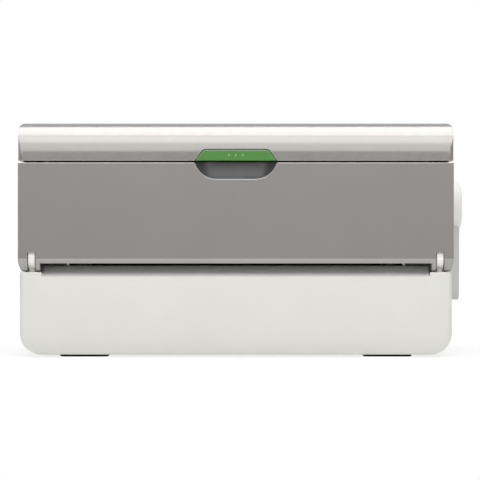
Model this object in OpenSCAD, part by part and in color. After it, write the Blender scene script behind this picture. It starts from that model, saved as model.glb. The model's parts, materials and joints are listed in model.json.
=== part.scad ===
// Hand-cranked tabletop film machine, millimetres.
// Frame: +X to the viewer's right, -Y towards the viewer, +Z up, origin on the table under the middle.

/* [Body] */
// width of the feed tray and the top cover
body_w = 345; // [320:1:380]
// depth from the tray's face to the rear wall
body_d = 176; // [166:1:200]
// height of the cover's crown above the table
body_h = 186; // [182:1:200]
// how far each side of the base stands in from the tray's side
base_inset = 1.5; // [1:0.1:4]
// radius of the base's two lower corners
base_corner = 17.4; // [10:0.2:24]
// radius of the vertical edges
edge_r = 3; // [1:0.5:6]
// thickness of the moulded skins
wall = 2.5; // [2:0.1:3.5]
// thickness of the base's side and rear walls
side_wall = 3; // [2.5:0.1:4]
// height of the rubber feet
foot_h = 2; // [1.5:0.1:4]
// length of each foot
foot_len = 38.6; // [30:0.2:44]
// depth of each foot
foot_d = 20; // [14:0.5:24]
// distance of each foot from the tray's side
foot_side = 32.6; // [24:0.1:40]
// distance of each foot from the front or the rear
foot_in = 8; // [6:0.5:14]

/* [Tray] */
// height of the tray's upper edge
tray_top = 153.9; // [150:0.1:158]
// thickness of the tray from face to feed surface
tray_t = 14; // [13:0.5:16]
// height of the hinge axis
hinge_z = 78.7; // [76:0.1:82]
// radius of the hinge barrels
barrel_r = 10.5; // [9.5:0.1:11.5]
// gap between the tray and the top cover
seam = 1.5; // [1:0.1:2.5]
// hinge pin radius
hinge_pin_r = 2; // [1.5:0.1:2.5]
// running clearance of pins and shafts in their bores
run = 0.06; // [0.03:0.01:0.1]
// radius of the curve that leads in at the tray's lower corners
tray_side_r = 17; // [10:0.5:30]
// how far the slanted band under the tray's face leads back
band_in = 3.5; // [2.5:0.1:5]
// distance between the ribs behind the tray's face
rib_pitch = 60; // [45:1:64]

/* [Cover] */
// radius of the cover's front and rear bends
cover_r = 24; // [18:1:28]
// radius of the cover's end edges
cover_end_r = 5; // [3:0.5:8]

/* [Release] */
// button width along its lower edge
button_w = 63.8; // [56:0.2:72]
// button height
button_h = 8.4; // [7:0.1:9]
// travel of the button
button_travel = 3; // [2.5:0.1:3.2]
// angle that the latch lever swings over the button's travel
latch_swing = 18.33; // [16:0.01:20]
// radius of the finger well's corners
well_r = 18; // [15:0.2:20]
// depth of the finger well below the tray's upper edge
well_depth = 13.1; // [11:0.1:14]
// half the flat length of the finger well's lower edge
well_flat = 15.2; // [13:0.2:17]

/* [Drive] */
// depth position of the roller and crank axes
roller_y = 22; // [14:1:24]
// gear module
gear_m = 1.25; // [1.2:0.01:1.3]
// teeth on the crank gear
crank_teeth = 22; // [21:1:25]
// teeth on each roller gear
roller_teeth = 20; // [19:1:21]
// gear width
gear_w = 8; // [6:0.5:10]
// gap between the two rollers
nip_gap = 0.3; // [0.2:0.1:0.6]
// roller shaft radius
roller_shaft_r = 4; // [3.5:0.1:4.5]
// crank shaft radius
crank_shaft_r = 5; // [4.5:0.1:5.5]

/* [Crank] */
// distance from the crank axis to the arm's lower end
arm_len = 78.1; // [74:0.1:84]
// radius of the hub
hub_r = 20; // [18:0.5:22]
// thickness of the hub
hub_t = 10.5; // [9.5:0.1:14]
// gap between the base wall and the arm
arm_gap = 4.3; // [4:0.1:7]
// thickness of the arm
arm_t = 11; // [10.5:0.1:12]
// radius of the grip
grip_r = 4.5; // [4:0.1:4.6]

/* [Cartridge] */
// width of the film
film_w = 229; // [210:1:236]
// radius of the upper film roll
upper_roll_r = 28; // [20:0.5:28]
// radius of the lower film roll
lower_roll_r = 24; // [18:0.5:24]
// outer radius of the roll cores
core_r = 13; // [12:0.1:15]
// reach of the cartridge in front of its upper roll
cartridge_front = 35; // [34:0.5:36]
// thickness of the upper guard
guard_t = 3; // [2:0.5:4]
// height of the upper guard
guard_h = 32; // [26:1:34]
// reach of the cartridge in front of its lower roll
lower_front = 26; // [25.5:0.5:28]
// thickness of the lower guard
lower_guard_t = 1.5; // [1:0.1:1.8]
// height of the lower guard
lower_guard_h = 34; // [28:1:36]
// radius of the round top of the cartridge's ends
end_top_r = 30; // [29:0.5:31]

/* [Part] */
// which sub-part to draw

/* [Hidden] */
$fn = 96;
front_y = -body_d / 2;
rear_y = body_d / 2;
half_w = body_w / 2;
base_half = half_w - base_inset;
wall_in = base_half - side_wall;
floor_top = foot_h + wall;
cover_z = tray_top + seam;
button_z0 = cover_z;
bend_r = min(cover_r, body_h - button_z0 - button_h + 2.1);
bend_z = body_h - bend_r;
cover_in = half_w - wall;
lip_t = 1.2;
lip_gap = 0.3;

hinge_y = front_y + barrel_r;
tray_back = front_y + tray_t;
tray_low = hinge_z - 4.7;
block_top = hinge_z - barrel_r - 1;
sweep_r = norm([barrel_r - band_in, barrel_r]) + 0.7;
block_t = sweep_r - barrel_r + 1;
ear_gap = 0.85;
ear_1 = half_w - 7.5;
knuckle_1 = ear_1 - ear_gap;
knuckle_0 = knuckle_1 - 4.6;
ear_2 = knuckle_0 - ear_gap;
ear_3 = ear_2 - 3.6;
deck_half = ear_3 - 1.3;
knuckle_r = barrel_r - 1.5;
notch_top = hinge_z + 4.1;
knuckle_foot = 3.1;
ear_low = hinge_z - barrel_r;
band_top = hinge_z - 0.8;
tray_side_up = min(9, tray_side_r);
lip_z = block_top - 3.5;
deck_mid_y = front_y + 14;
deck_mid_z = lip_z + 3.5;
deck_back_y = front_y + 22;
deck_back_z = lip_z + 8.5;
deck_t = 2.8;

nip_z = hinge_z + tray_t - barrel_r - 0.2;
roller_pitch = gear_m * roller_teeth / 2;
crank_pitch = gear_m * crank_teeth / 2;
roller_r = roller_pitch - nip_gap / 2;
lower_z = nip_z - roller_pitch;
upper_z = nip_z + roller_pitch;
crank_z = upper_z + roller_pitch + crank_pitch;
frame_in = film_w / 2 + 19;
frame_t = 2;
frame_out = frame_in + frame_t;
frame_mid = frame_in + frame_t / 2;
gear_x = frame_out + 4.5;
frame_y0 = front_y + 24;
frame_y1 = roller_y + 38;
frame_top = tray_top - 4;
flange_z = floor_top + 3.5;

arm_x0 = base_half + arm_gap;
web_x = arm_x0 + 2.5;
arm_x1 = arm_x0 + arm_t;
boss_x0 = base_half + 2.3;
hub_roof = 2.2;
screw_t = 2.2;
boss_x1 = web_x + min(6, hub_t - hub_roof - screw_t - 0.7);
arm_end_r = 9;
pivot_z = crank_z - arm_len + arm_end_r + 1;
pivot_x = web_x + grip_r + 0.3;
grip_z0 = pivot_z + 5.5;
grip_z1 = crank_z - hub_r - 4.5;
stem_end = grip_z1 + 1.5;

plate_x0 = film_w / 2 + 7;
plate_x1 = plate_x0 + 5;
shelf_top = floor_top + 17.5;
roll_ahead = 50;
roll_y = roller_y - roll_ahead;
lower_roll_z = shelf_top + 26;
upper_roll_z = nip_z + 37;
stub_r = core_r - 3;
core_end = plate_x0 - 1;
feed_y = roll_y - cartridge_front + guard_t;

window_half = wall_in - 19.5;
window_z0 = nip_z - 10;
window_z1 = nip_z + 22;
rail_y = rear_y - 12;
rail_z = nip_z + 14;
rail_r = 3;
bracket_y = rail_y - 6;
park_x = window_half - 12;
slider_half = 13;
slider_up = 7;
slider_down = 8;
neck_half = 10;
knob_y0 = rear_y + 4;
knob_y1 = rear_y + 12;
blade_half = 5;
blade_y0 = rail_y - 4.3;
blade_y1 = rail_y - 3.7;

column_r = 6;
column_x = max(wall_in - 15.5, frame_out + column_r + 0.5);
column_y = [frame_y0 + 8, min(roller_y + 38, bracket_y - column_r - 1)];
column_top = cover_z - 5.4;
seat_z = column_top - 13;
flange_screw_x = frame_out + 6.5;
flange_screw_y = [frame_y0 + 20, frame_y1 - 20];

hanger_t = 2.5;
hanger_z = body_h - wall - hanger_t;
lever_y = front_y + 24;
lever_z = cover_z - 0.4;
fork_up = 2.6;
fork_down = 1.6;
lever_arm = min(button_travel / sin(latch_swing), hanger_z - fork_up - 0.5 - lever_z);
lever_pin_r = 1.5;
hook_y0 = front_y + 9.4;
hook_y1 = front_y + 11.8;
flange_y = front_y + 5.2;
seat_y = front_y + 15.5;
spring_x = 18;
spring_z = button_z0 + 5.1;
spring_len = 8.5;
button_gap = 0.8;
dot_r = 1;
dot_t = 0.3;
dot_pitch = 5.5;
cup_back = front_y + 8;
well_z = tray_top + well_r - well_depth;

white = [0.90, 0.90, 0.88];
silver = [0.72, 0.72, 0.70];
grey = [0.58, 0.57, 0.55];
dark = [0.25, 0.25, 0.25];
green = [0.36, 0.56, 0.30];
steel = [0.75, 0.76, 0.78];

// extrude a drawing of depth and height along X
module along_x(x0, x1) {
  translate([x0, 0, 0]) rotate([90, 0, 90]) linear_extrude(x1 - x0) children();
}

// extrude a drawing of width and height along Y
module along_y(y0, y1) {
  translate([0, y1, 0]) rotate([90, 0, 0]) linear_extrude(y1 - y0) children();
}

// extrude a drawing of width and depth along Z
module along_z(z0, z1) {
  translate([0, 0, z0]) linear_extrude(z1 - z0) children();
}

module box(a, b) {
  translate(a) cube(b - a);
}

module rod_x(r, x0, x1, y, z) {
  translate([x0, y, z]) rotate([0, 90, 0]) cylinder(r = r, h = x1 - x0);
}

module rod_y(r, y0, y1, x, z) {
  translate([x, y0, z]) rotate([-90, 0, 0]) cylinder(r = r, h = y1 - y0);
}

module rod_z(r, z0, z1, x, y) {
  translate([x, y, z0]) cylinder(r = r, h = z1 - z0);
}

module both_sides() {
  for (s = [0, 1]) mirror([s, 0, 0]) children();
}

// rectangle with round corners, drawn from exact arcs
module soft_rect(x0, y0, x1, y1, r) {
  translate([x0 + r, y0]) square([x1 - x0 - 2 * r, y1 - y0]);
  translate([x0, y0 + r]) square([x1 - x0, y1 - y0 - 2 * r]);
  for (x = [x0 + r, x1 - r], y = [y0 + r, y1 - r]) translate([x, y]) circle(r);
}

// base seen from the front: round lower corners, square top
module base_outline(inset, z0, z1) {
  r = base_corner - inset;
  h = base_half - inset;
  translate([-h, z0 + r]) square([2 * h, z1 - z0 - r]);
  translate([r - h, z0]) square([2 * (h - r), 2 * r]);
  for (s = [-1, 1]) translate([s * (h - r), z0 + r]) circle(r);
}

// ramp under the tray's lower edge, seen from the side, with ahead added in front of its lip
function deck_line(ahead) = [[front_y - ahead, lip_z], [front_y, lip_z], [deck_mid_y, deck_mid_z],
  [deck_back_y, deck_back_z]];

module hinge_knuckle() {
  along_x(knuckle_0, knuckle_1) {
    translate([hinge_y, hinge_z]) circle(knuckle_r);
    translate([hinge_y - knuckle_foot, block_top - 1.5])
      square([knuckle_foot + 8.5, hinge_z - block_top + 1.5]);
  }
}

module base_front() {
  along_x(-deck_half - 1, deck_half + 1)
    polygon([each deck_line(0), [deck_back_y, deck_back_z - deck_t], [deck_mid_y, deck_mid_z - deck_t],
      [front_y, lip_z - deck_t]]);
  both_sides() {
    box([deck_half, front_y + 1, block_top - block_t], [wall_in + 1, deck_back_y, block_top]);
    box([deck_half, front_y + 1, block_top - 10], [deck_half + wall, deck_back_y, block_top]);
    hinge_knuckle();
  }
}

module base_columns() {
  both_sides() for (y = column_y) {
    rod_z(column_r, floor_top - 1, column_top, column_x, y);
    box([column_x, y - 1.5, floor_top - 1], [wall_in + 1, y + 1.5, column_top]);
  }
  both_sides() for (y = flange_screw_y) rod_z(5, floor_top - 1, flange_z, flange_screw_x, y);
}

// lip inside the seam between the walls and the cover
module seam_lip() {
  side_out = min(cover_in - lip_gap, base_half - 0.8);
  rear_out = rear_y - max(wall, side_wall - lip_t / 2) - lip_gap;
  z0 = tray_top - 4;
  z1 = tray_top + 3.6;
  both_sides() box([side_out - lip_t, tray_back + 3, z0], [side_out, rear_out, z1]);
  box([-side_out, rear_out - lip_t, z0], [side_out, rear_out, z1]);
}

module base_housing() {
  color(white) difference() {
    union() {
      difference() {
        intersection() {
          along_y(front_y, rear_y) base_outline(0, foot_h, tray_top);
          along_z(0, body_h) soft_rect(-base_half, front_y, base_half, rear_y, edge_r);
        }
        along_y(front_y + wall, rear_y - side_wall) base_outline(side_wall, floor_top, tray_top + 10);
        box([-half_w, front_y - 1, block_top], [half_w, tray_back + 1, body_h]);
        along_x(-deck_half, deck_half)
          polygon([each deck_line(2), [deck_back_y, body_h], [front_y - 2, body_h]]);
      }
      base_front();
      intersection() {
        base_columns();
        along_y(front_y + 1, rear_y - 1) base_outline(1, foot_h, tray_top);
      }
      seam_lip();
    }
    both_sides() difference() {
      rod_x(sweep_r, deck_half, half_w + 1, hinge_y, hinge_z);
      rod_x(sweep_r + 1, knuckle_0, knuckle_1, hinge_y, hinge_z);
    }
    both_sides() rod_x(hinge_pin_r, knuckle_0 - 1, knuckle_1 + 1, hinge_y, hinge_z);
    box([-window_half, rear_y - side_wall - 1, window_z0], [window_half, rear_y + 1, window_z1]);
    rod_x(crank_shaft_r + 3, wall_in - 1, half_w, roller_y, crank_z);
    both_sides() for (y = column_y) {
      rod_z(3.6, foot_h - 1, seat_z, column_x, y);
      rod_z(1.6, seat_z - 1, column_top + 1, column_x, y);
    }
    both_sides() for (y = flange_screw_y)
      rod_z(1.5, floor_top - 0.5, flange_z + 1, flange_screw_x, y);
  }
}

module rubber_feet() {
  x1 = half_w - foot_side;
  color([0.08, 0.08, 0.07]) both_sides() for (y = [front_y + foot_in, rear_y - foot_in - foot_d])
    along_z(0, foot_h) soft_rect(x1 - foot_len, y, x1, y + foot_d, 5);
}

module cover_side(inset) {
  z0 = cover_z - inset;
  translate([front_y + inset, z0]) square([body_d - 2 * inset, bend_z - z0]);
  translate([front_y + bend_r, z0]) square([body_d - 2 * bend_r, body_h - inset - z0]);
  for (s = [-1, 1]) translate([s * (rear_y - bend_r), bend_z]) circle(bend_r - inset);
}

// button outline, grown evenly by g, drawn from exact arcs
module button_outline(g) {
  r = 4 + g;
  w0 = button_w / 2;
  w1 = w0 - 6.2;
  top = button_z0 + button_h;
  l = norm([w0 - w1, button_h]);
  n = [button_h / l, (w0 - w1) / l];
  cx = (n[0] * w0 + n[1] * (button_z0 - (top - 4)) - 4) / n[0];
  low = button_z0 - 2 * g;
  hit = [cx + r * n[0], top - 4 + r * n[1]];
  foot = hit[0] + (hit[1] - low) * n[1] / n[0];
  polygon([[-foot, low], [foot, low], hit, [cx, top + g], [-cx, top + g], [-hit[0], hit[1]]]);
  for (s = [-1, 1]) translate([s * cx, top - 4]) circle(r);
}

module top_cover() {
  color(silver) difference() {
    union() {
      difference() {
        intersection() {
          along_x(-half_w, half_w) cover_side(0);
          along_y(front_y, rear_y)
            soft_rect(-half_w, cover_z - 2 * cover_end_r, half_w, body_h, cover_end_r);
          along_z(cover_z, body_h) soft_rect(-half_w, front_y, half_w, rear_y, edge_r + 1);
        }
        along_x(-cover_in, cover_in) cover_side(wall);
      }
      both_sides() for (y = column_y) rod_z(5, column_top, body_h - 1, column_x, y);
    }
    along_y(front_y - 1, front_y + wall + 1.2) button_outline(button_gap);
    both_sides() for (y = column_y) rod_z(1.6, column_top - 1, column_top + 10, column_x, y);
  }
}

module cover_screws() {
  color(steel) both_sides() for (y = column_y) {
    rod_z(3.3, seat_z - 2.5, seat_z, column_x, y);
    rod_z(1.6, seat_z - 0.5, column_top + 9, column_x, y);
  }
}

// one pressed side plate, drawn for the right
module side_plate(with_crank) {
  difference() {
    union() {
      along_x(frame_in, frame_out)
        polygon([[frame_y0, flange_z], [frame_y1, flange_z], [frame_y1, frame_top - 18],
          [frame_y1 - 18, frame_top], [frame_y0 + 8, frame_top], [frame_y0, frame_top - 8]]);
      box([frame_out - 1, frame_y0 + 15, flange_z], [frame_out + 11.5, frame_y1 - 15, flange_z + frame_t]);
      box([plate_x0 - 2, roll_y - 34, shelf_top - frame_t], [frame_in + 1, roll_y + 28, shelf_top]);
    }
    rod_x(roller_shaft_r + 3, frame_in - 1, frame_out + 1, roller_y, lower_z);
    box([frame_in - 1, roller_y - 8.2, upper_z - 8.3],
      [frame_out + 1, roller_y + 8.2, upper_z + 8 + spring_len]);
    if (with_crank) rod_x(crank_shaft_r + 3, frame_in - 1, frame_out + 1, roller_y, crank_z);
    for (p = tie_spots()) rod_x(2.5, frame_in - 1, frame_out + 1, p[0], p[1]);
    for (y = flange_screw_y) rod_z(1.5, flange_z - 1, flange_z + frame_t + 1, flange_screw_x, y);
  }
}

function tie_spots() = [[frame_y0 + 8, flange_z + 5], [frame_y1 - 10, flange_z + 24],
  [frame_y1 - 16, frame_top - 12]];

module left_side_frame() {
  color(steel) mirror([1, 0, 0]) side_plate(false);
}

module right_side_frame() {
  color(steel) side_plate(true);
}

module frame_tie_bars() {
  color(steel) for (p = tie_spots()) {
    rod_x(4, -frame_in, frame_in, p[0], p[1]);
    rod_x(2.5, -frame_out - 1.5, frame_out + 1.5, p[0], p[1]);
  }
}

module frame_screws() {
  color(steel) both_sides() for (y = flange_screw_y) {
    rod_z(3.2, flange_z + frame_t, flange_z + frame_t + 2, flange_screw_x, y);
    rod_z(1.5, floor_top, flange_z + frame_t + 1, flange_screw_x, y);
  }
}

module flanged_bush(r, wall_r, flange_r, x0, x1, x2, z) {
  difference() {
    union() {
      rod_x(r + wall_r, x0, x2, roller_y, z);
      rod_x(flange_r, x1, x2, roller_y, z);
    }
    rod_x(r + run, x0 - 1, x2 + 1, roller_y, z);
  }
}

module lower_roller_bushes() {
  color([0.85, 0.84, 0.78]) both_sides()
    flanged_bush(roller_shaft_r, 3, roller_shaft_r + 5, frame_in - 1.5, frame_out, frame_out + 2, lower_z);
}

module upper_roller_blocks() {
  color([0.85, 0.84, 0.78]) both_sides() difference() {
    union() {
      box([frame_in - 2, roller_y - 8, upper_z - 8.3], [frame_out + 2, roller_y + 8, upper_z + 8]);
      box([frame_in - 2, roller_y - 10, upper_z - 8], [frame_in, roller_y + 10, upper_z + 8]);
      box([frame_out, roller_y - 10, upper_z - 8], [frame_out + 2, roller_y + 10, upper_z + 8]);
    }
    rod_x(roller_shaft_r + run, frame_in - 3, frame_out + 3, roller_y, upper_z);
  }
}

function ring_point(wire_r, a, t, k) =
  let (n = [cos(a), sin(a), 0], b = cross(t, n) / norm(cross(t, n)))
  wire_r * (cos(60 * k) * n + sin(60 * k) * b);

// one unbroken coil along Z whose two ends run straight into their seats
module coil(mean_r, wire_r, len, turns) {
  n = turns * 8;
  stub = 2 * wire_r;
  rise = (len - 2 * stub) / n;
  path = [for (i = [-1 : n + 1])
    [45 * i, i < 0 ? 0 : i > n ? len : stub + rise * i, i < 0 || i > n]];
  spots = [for (i = [0 : n]) [mean_r * cos(45 * i), mean_r * sin(45 * i), stub + rise * i]];
  gap = min([for (i = [0 : n - 6]) min([for (j = [i + 6 : n]) norm(spots[i] - spots[j])])]) - 2 * wire_r;
  echo(least_coil_gap = gap);
  rings = [for (p = path) let (
    a = p[2] ? (p[1] == 0 ? 0 : 45 * n) : p[0],
    t = p[2] ? [0, 0, 1] : [-sin(a), cos(a), rise / (mean_r * PI / 4)])
    [for (k = [0 : 5]) [mean_r * cos(a), mean_r * sin(a), p[1]] + ring_point(wire_r, a, t, k)]];
  last = len(rings) - 1;
  polyhedron(points = [for (r = rings) each r],
    faces = concat([[0, 1, 2, 3, 4, 5]], [[for (k = [5 : -1 : 0]) last * 6 + k]],
      [for (i = [0 : last - 1], k = [0 : 5])
        [i * 6 + k, i * 6 + 6 + k, i * 6 + 6 + (k + 1) % 6, i * 6 + (k + 1) % 6]]));
}

module pressure_springs() {
  color(steel) both_sides()
    translate([frame_mid, roller_y, upper_z + 8]) coil(3.2, 0.5, spring_len, 4);
}

module button_springs() {
  color(steel) for (x = [-spring_x, spring_x])
    translate([x, flange_y, spring_z]) rotate([-90, 0, 0]) coil(2.4, 0.3, seat_y - flange_y, 5);
}

module crank_bushes() {
  color([0.80, 0.66, 0.36]) {
    flanged_bush(crank_shaft_r, 3, crank_shaft_r + 4.5, frame_in - 1.5, frame_out, frame_out + 2, crank_z);
    flanged_bush(crank_shaft_r, 3, crank_shaft_r + 6, wall_in - 3.5, base_half, base_half + 2, crank_z);
  }
}

// panel that hides the gears behind the open tray
module gear_panel() {
  along_y(deck_back_y - 0.5, deck_back_y + 1.5)
    soft_rect(frame_out, deck_back_z + 0.5, wall_in, tray_top - 2, 1.5);
}

module left_gear_cover() {
  color(grey) mirror([1, 0, 0]) gear_panel();
}

module right_gear_cover() {
  color(grey) gear_panel();
}

module exit_chute() {
  start_y = roller_y + roller_r + 2.65;
  top = nip_z - 1.5;
  out = nip_z - 6.2;
  color(dark) difference() {
    along_x(-frame_in, frame_in)
      polygon([[start_y, top - 2.5], [start_y, top], [rear_y - 24, top],
        [rear_y + 3, out], [rear_y + 3, window_z0], [rear_y - 4, window_z0], [rear_y - 24, top - 3]]);
    box([-frame_in - 1, rail_y - 5, top - 3.5], [frame_in + 1, rail_y - 3, top + 1]);
  }
}

module cutter_rail() {
  color(steel) rod_x(rail_r, -window_half - 8, window_half + 8, rail_y, rail_z);
}

module rail_brackets() {
  color(dark) both_sides() difference() {
    box([window_half + 2, bracket_y, rail_z - 7], [window_half + 8, rear_y - side_wall, rail_z + 7]);
    rod_x(rail_r, window_half + 1, window_half + 9, rail_y, rail_z);
  }
}

module hinge_pins() {
  color(steel) both_sides() rod_x(hinge_pin_r, ear_3 + 0.5, half_w - 2, hinge_y, hinge_z);
}

module latch_bracket() {
  seat_z1 = min(lever_z + 11.5, hanger_z);
  hanger_y = max(lever_y, front_y + bend_r);
  color(dark) difference() {
    union() {
      both_sides() {
        box([6.5, lever_y - 6, lever_z - 4.5], [8.5, lever_y + 8, hanger_z]);
        box([6.5, seat_y, lever_z + 2.5], [spring_x + 8, seat_y + 2, seat_z1]);
        box([6.5, seat_y, lever_z + 2.5], [8.5, lever_y - 5, seat_z1]);
      }
      box([-20, hanger_y, hanger_z], [20, hanger_y + 18, hanger_z + hanger_t]);
    }
    rod_x(lever_pin_r, -10, 10, lever_y, lever_z);
  }
}

module latch_pin() {
  color(steel) rod_x(lever_pin_r, -8.5, 8.5, lever_y, lever_z);
}

// cartridge end seen from the side, with a journal for each core
module cartridge_end() {
  along_x(plate_x0, plate_x1) {
    translate([roll_y - lower_front, shelf_top]) square([2 * lower_front, lower_guard_h + 6]);
    translate([roll_y - lower_front + 4, shelf_top])
      square([2 * lower_front - 4, upper_roll_z - shelf_top]);
    translate([roll_y, upper_roll_z]) circle(end_top_r);
    translate([roll_y - cartridge_front, upper_roll_z - guard_h / 2 - 3])
      square([end_top_r, guard_h + 4]);
    translate([feed_y, nip_z - 6]) square([20, 10]);
  }
  for (z = [lower_roll_z, upper_roll_z]) rod_x(stub_r, plate_x0 - 14, plate_x0 + 1, roll_y, z);
}

module cartridge_left_end() {
  color(white) mirror([1, 0, 0]) cartridge_end();
}

module cartridge_right_end() {
  color(white) cartridge_end();
}

module cartridge_feed_plate() {
  end_y = roller_y - roller_r - 3.65;
  color(silver) along_x(-plate_x0, plate_x0)
    polygon([[feed_y, nip_z - 1.8], [feed_y + 2, nip_z - 0.5], [end_y, nip_z - 0.5],
      [end_y, nip_z - 2.5], [feed_y, nip_z - 2.5]]);
}

module cartridge_guards() {
  color(white) {
    along_y(roll_y - cartridge_front, feed_y)
      translate([-plate_x0, upper_roll_z - guard_h / 2 - 1]) square([2 * plate_x0, guard_h]);
    along_y(roll_y - lower_front, roll_y - lower_front + lower_guard_t)
      translate([-plate_x0, shelf_top + 4]) square([2 * plate_x0, lower_guard_h]);
  }
}

// finger well seen from the front, grown evenly by g
module well_outline(g) {
  for (s = [-1, 1]) translate([s * well_flat, well_z]) circle(well_r + g);
  translate([-well_flat, tray_top - well_depth - g]) square([2 * well_flat, well_depth + g + 6]);
}

// the well with its upper corners flared by an outward round
module well_flare() {
  f = 2;
  reach = well_r + f;
  drop = well_z - tray_top + f;
  cx = well_flat + sqrt(reach * reach - drop * drop);
  hit = well_z - drop * well_r / reach;
  well_outline(0);
  difference() {
    translate([-cx, hit]) square([2 * cx, tray_top - hit + 6]);
    for (s = [-1, 1]) translate([s * cx, tray_top - f]) circle(f);
  }
}

// tray seen from the front: square above, curved in at its lower corners
module tray_outline() {
  r = tray_side_r;
  bend_low = ear_low + tray_side_up;
  translate([-half_w, bend_low]) square([body_w, tray_top - bend_low]);
  intersection() {
    translate([-half_w, ear_low]) square([body_w, tray_side_up]);
    union() {
      translate([r - half_w, ear_low]) square([body_w - 2 * r, tray_side_up]);
      for (s = [-1, 1]) translate([s * (half_w - r), bend_low]) circle(r);
    }
  }
}

// tray seen from the side: a flat face, a slanted band under it and ears that end flat
module tray_side() {
  polygon([[front_y, tray_top], [front_y, band_top], [front_y + band_in, ear_low], [hinge_y, ear_low],
    [tray_back, ear_low + 0.7], [tray_back, tray_top]]);
}

module tray_block() {
  intersection() {
    along_x(-half_w, half_w) tray_side();
    along_y(front_y - 1, tray_back + 1) tray_outline();
  }
}

module feed_tray() {
  color(grey) difference() {
    tray_block();
    along_y(front_y + wall, tray_back + 1) {
      translate([-deck_half, hinge_z - 1.7]) square([2 * deck_half, tray_top - wall - hinge_z + 1.7]);
      translate([wall - half_w, hinge_z + 11.8])
        square([body_w - 2 * wall, tray_top - wall - hinge_z - 11.8]);
    }
    box([-ear_3, front_y - 1, hinge_z - 20], [ear_3, tray_back + 1, tray_low]);
    both_sides() {
      box([ear_2, front_y - 1, hinge_z - 20], [ear_1, tray_back + 1, notch_top]);
      rod_x(knuckle_r + 0.5, ear_2, ear_1, hinge_y, hinge_z);
      rod_x(hinge_pin_r + run, ear_3 - 1, half_w - 1.8, hinge_y, hinge_z);
    }
    along_y(front_y - 1, front_y + wall + 0.5) well_flare();
    along_y(front_y + wall, cup_back) well_outline(1.5);
    box([-9, cup_back - 0.5, tray_top - wall - 1], [9, tray_back - 1.6, tray_top + 1]);
  }
  color(grey) for (x = rib_pitch * [-2, -1, 1, 2])
    box([x - 1, front_y + wall, hinge_z + 8], [x + 1, tray_back - 2, tray_top - wall]);
}

module tray_liner() {
  color([0.62, 0.61, 0.59]) {
    along_y(tray_back - 2, tray_back) {
      translate([0.2 - deck_half, hinge_z - 1.5])
        square([2 * deck_half - 0.4, tray_top - wall - hinge_z + 1.3]);
      translate([wall + 0.2 - half_w, hinge_z + 12])
        square([body_w - 2 * wall - 0.4, tray_top - wall - hinge_z - 12.2]);
    }
    both_sides() along_y(tray_back - 1, tray_back + 1.4)
      soft_rect(film_w / 2 + 1, hinge_z + 16, film_w / 2 + 3.4, tray_top - 8, 1.1);
  }
}

module finger_cup() {
  color(dark) difference() {
    intersection() {
      along_y(front_y + wall, cup_back) well_outline(1.5);
      box([-half_w, front_y, hinge_z], [half_w, tray_back, tray_top + seam - 0.5]);
    }
    along_y(front_y, cup_back - 1.2) well_outline(0);
  }
}

module release_button() {
  tip = lever_z + lever_arm;
  flange_half = button_w / 2 + 3.3;
  flange_top = min(button_z0 + 9.5, bend_z + min(3.4, 0.55 * (bend_r - wall)));
  color(green) {
    along_y(front_y, flange_y - 1) button_outline(0);
    along_y(flange_y - 2, flange_y)
      soft_rect(-flange_half, button_z0 + 0.3, flange_half, flange_top, 1);
    both_sides() box([3.2, flange_y - 1, tip - fork_down], [5.7, lever_y + 3.5, tip + fork_up]);
    box([-5.7, lever_y - 4.5, tip - fork_down], [5.7, lever_y - 1.8, tip + fork_down]);
    box([-5.7, lever_y + 1.8, tip - fork_down], [5.7, lever_y + 3.5, tip + fork_down]);
  }
}

// raised dots that a finger feels on the button
module button_dots() {
  color([0.50, 0.68, 0.42]) for (x = dot_pitch * [-1, 0, 1])
    rod_y(dot_r, front_y - dot_t, front_y, x, button_z0 + 4.3);
}

module latch_lever() {
  color(dark) difference() {
    union() {
      along_x(-2.5, 2.5) {
        translate([lever_y, lever_z]) circle(4);
        translate([hook_y0, lever_z + 0.2]) square([lever_y - hook_y0, 3]);
        translate([lever_y - 1.1, lever_z]) square([2.2, lever_arm]);
        translate([lever_y, lever_z + lever_arm]) circle(1.5);
      }
      along_x(-7.5, 7.5) translate([hook_y0, tray_top - 3.2]) square([hook_y1 - hook_y0, 6.5]);
    }
    rod_x(lever_pin_r + run, -3, 3, lever_y, lever_z);
  }
}

module crank_shaft() {
  color(steel) rod_x(crank_shaft_r, frame_in - 2, boss_x1, roller_y, crank_z);
}

function flank(n, r) = let (rp = gear_m * n / 2, rb = rp * cos(20), a = acos(min(1, rb / r)))
  tan(a) * 180 / PI - a;

// one involute tooth centred on angle c, thinned for a free mesh
function tooth(n, c) = let (
    rp = gear_m * n / 2, rb = rp * cos(20), rf = rp - 1.25 * gear_m, ra = rp + gear_m,
    half = 90 / n - 0.06 / rp * 180 / PI + flank(n, rp),
    side = concat([[rf, half]],
      [for (k = [0 : 5]) let (r = rb + (ra - rb) * k / 5) [r, half - flank(n, r)]]),
    m = len(side) - 1)
  concat([for (p = side) p[0] * [cos(c - p[1]), sin(c - p[1])]],
    [for (k = [m : -1 : 0]) let (p = side[k]) p[0] * [cos(c + p[1]), sin(c + p[1])]]);

module spur_gear(n, phase, bore, y, z) {
  difference() {
    union() {
      along_x(gear_x, gear_x + gear_w) translate([y, z])
        polygon([for (k = [0 : n - 1]) each tooth(n, phase + 360 * k / n)]);
      rod_x(bore + 3, gear_x + gear_w - 1, gear_x + gear_w + 3, y, z);
    }
    rod_x(bore, gear_x - 1, gear_x + gear_w + 4, y, z);
  }
}

module crank_gear() {
  color([0.88, 0.87, 0.82]) spur_gear(crank_teeth, -90, crank_shaft_r, roller_y, crank_z);
}

module arm_outline(inset) {
  low = crank_z - arm_len + arm_end_r;
  translate([roller_y, low]) circle(arm_end_r - inset);
  polygon([[roller_y - 11.5 + inset, crank_z], [roller_y + 11.5 - inset, crank_z],
    [roller_y + arm_end_r - inset, low], [roller_y - arm_end_r + inset, low]]);
}

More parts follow.
